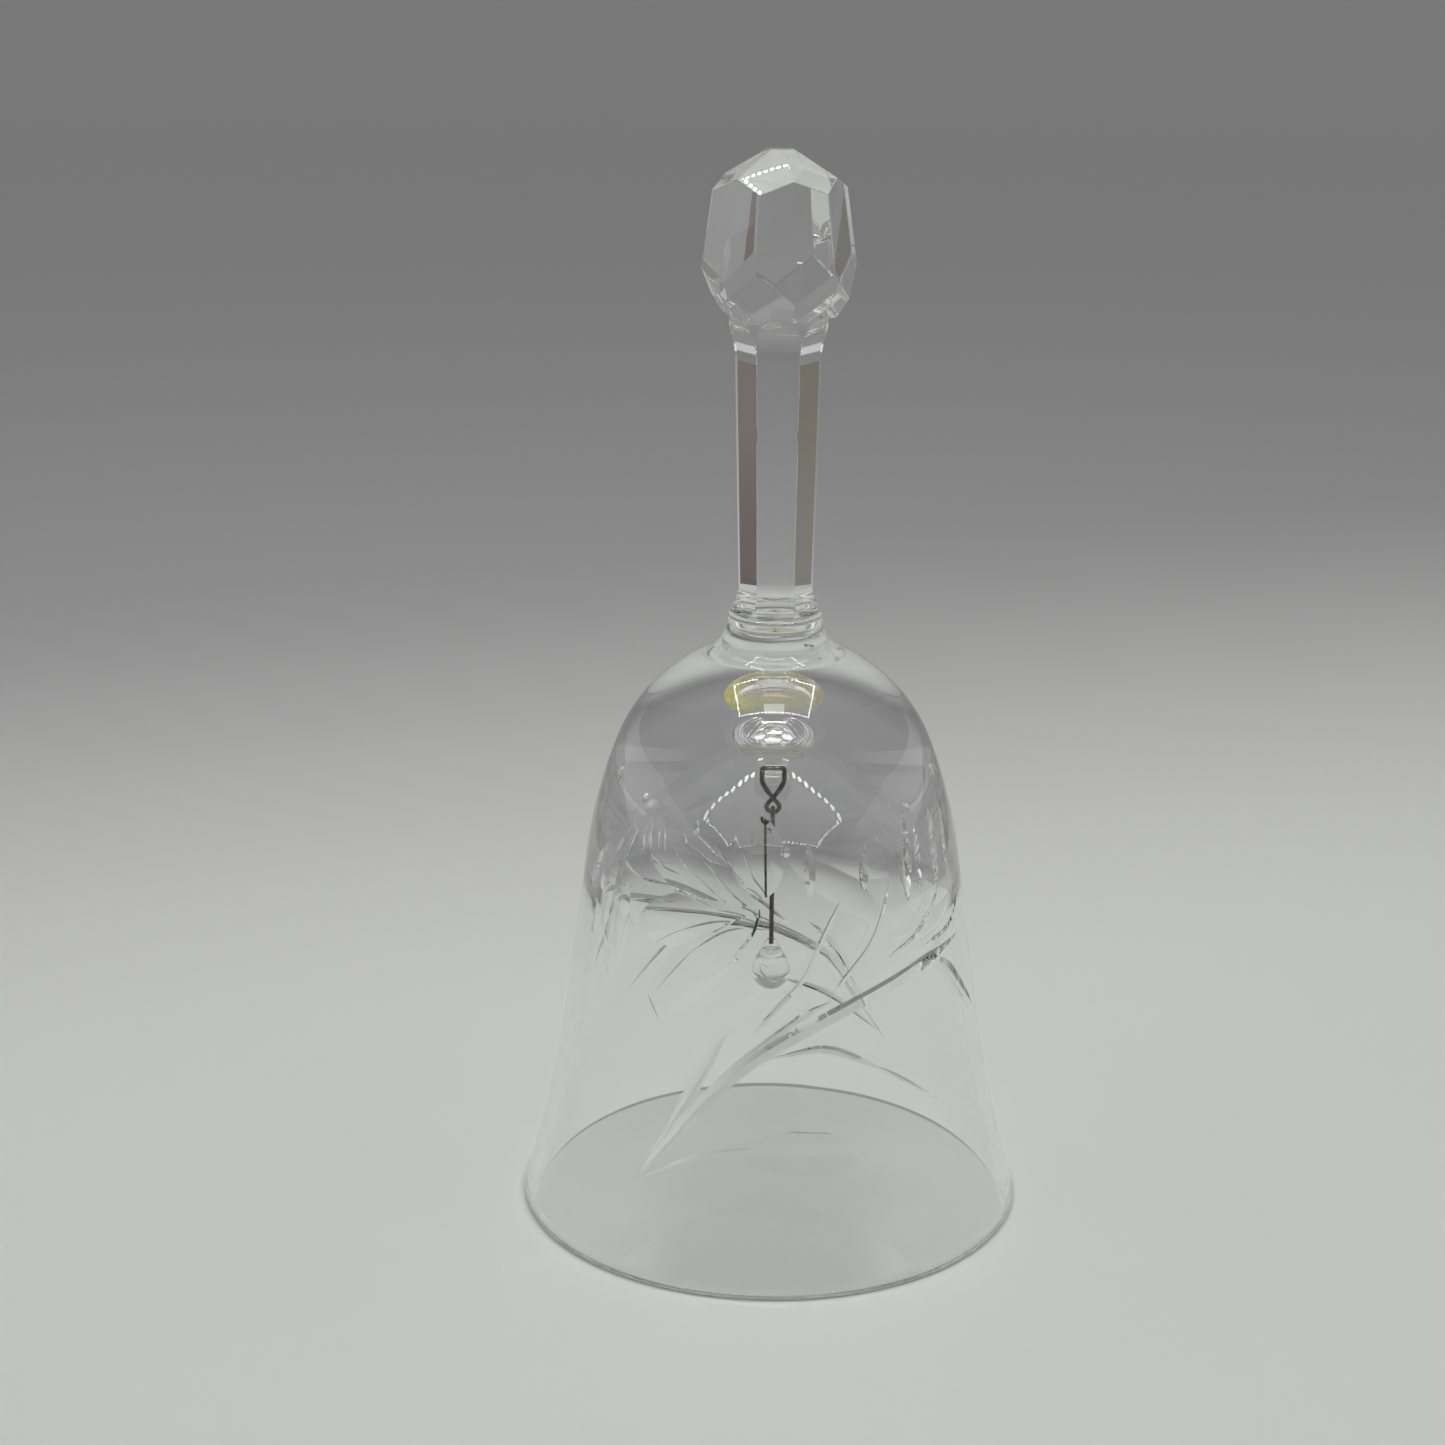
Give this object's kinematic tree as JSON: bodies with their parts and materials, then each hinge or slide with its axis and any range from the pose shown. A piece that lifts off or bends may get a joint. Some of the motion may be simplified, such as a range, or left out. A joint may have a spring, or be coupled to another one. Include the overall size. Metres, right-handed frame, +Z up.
{
  "type": "glass hand bell",
  "caption": "Cut-glass hand bell with a flared bowl, a collar, a faceted stem and knob to hold it by, and a glass drop clapper hung on a wire from a glued button.",
  "frame": {"origin": "centre of the circle of the lip, in the plane that the bell stands on", "axes": "+Z up along the bell's axis to the knob; -Y towards the viewer of the picture; +X to the viewer's right"},
  "size_m": [0.08, 0.08, 0.1672],
  "materials": {
    "bowl_glass": "clear, fire polished, with cut ornament",
    "handle_glass": "clear, cut and polished",
    "button_glass": "clear, pressed",
    "drop_glass": "clear, pressed",
    "adhesive": "clear resin, yellowed by age",
    "wire": "drawn wire, dulled"
  },
  "bodies": {
    "bell": {"bell_bowl": "bowl_glass", "collar": "handle_glass", "handle": "handle_glass", "adhesive": "adhesive", "hanger_button": "button_glass"},
    "hanger": {"hanger_loop": "wire"},
    "clapper": {"clapper_wire": "wire"},
    "drop": {"clapper_drop": "drop_glass"}
  },
  "joints": [
    {"name": "hanger_swing", "type": "hinge", "parent": "bell", "child": "hanger", "pos_m": [0, 0, 0.0756], "axis": [1, 0, 0], "range_deg": [-30, 30]},
    {"name": "clapper_swing", "type": "hinge", "parent": "hanger", "child": "clapper", "pos_m": [0, 0, 0.07007], "axis": [0, 1, 0], "range_deg": [-30, 30]},
    {"name": "drop_swing", "type": "hinge", "parent": "clapper", "child": "drop", "pos_m": [0, 0, 0.04377], "axis": [0, 1, 0], "range_deg": [-25, 25]}
  ]
}
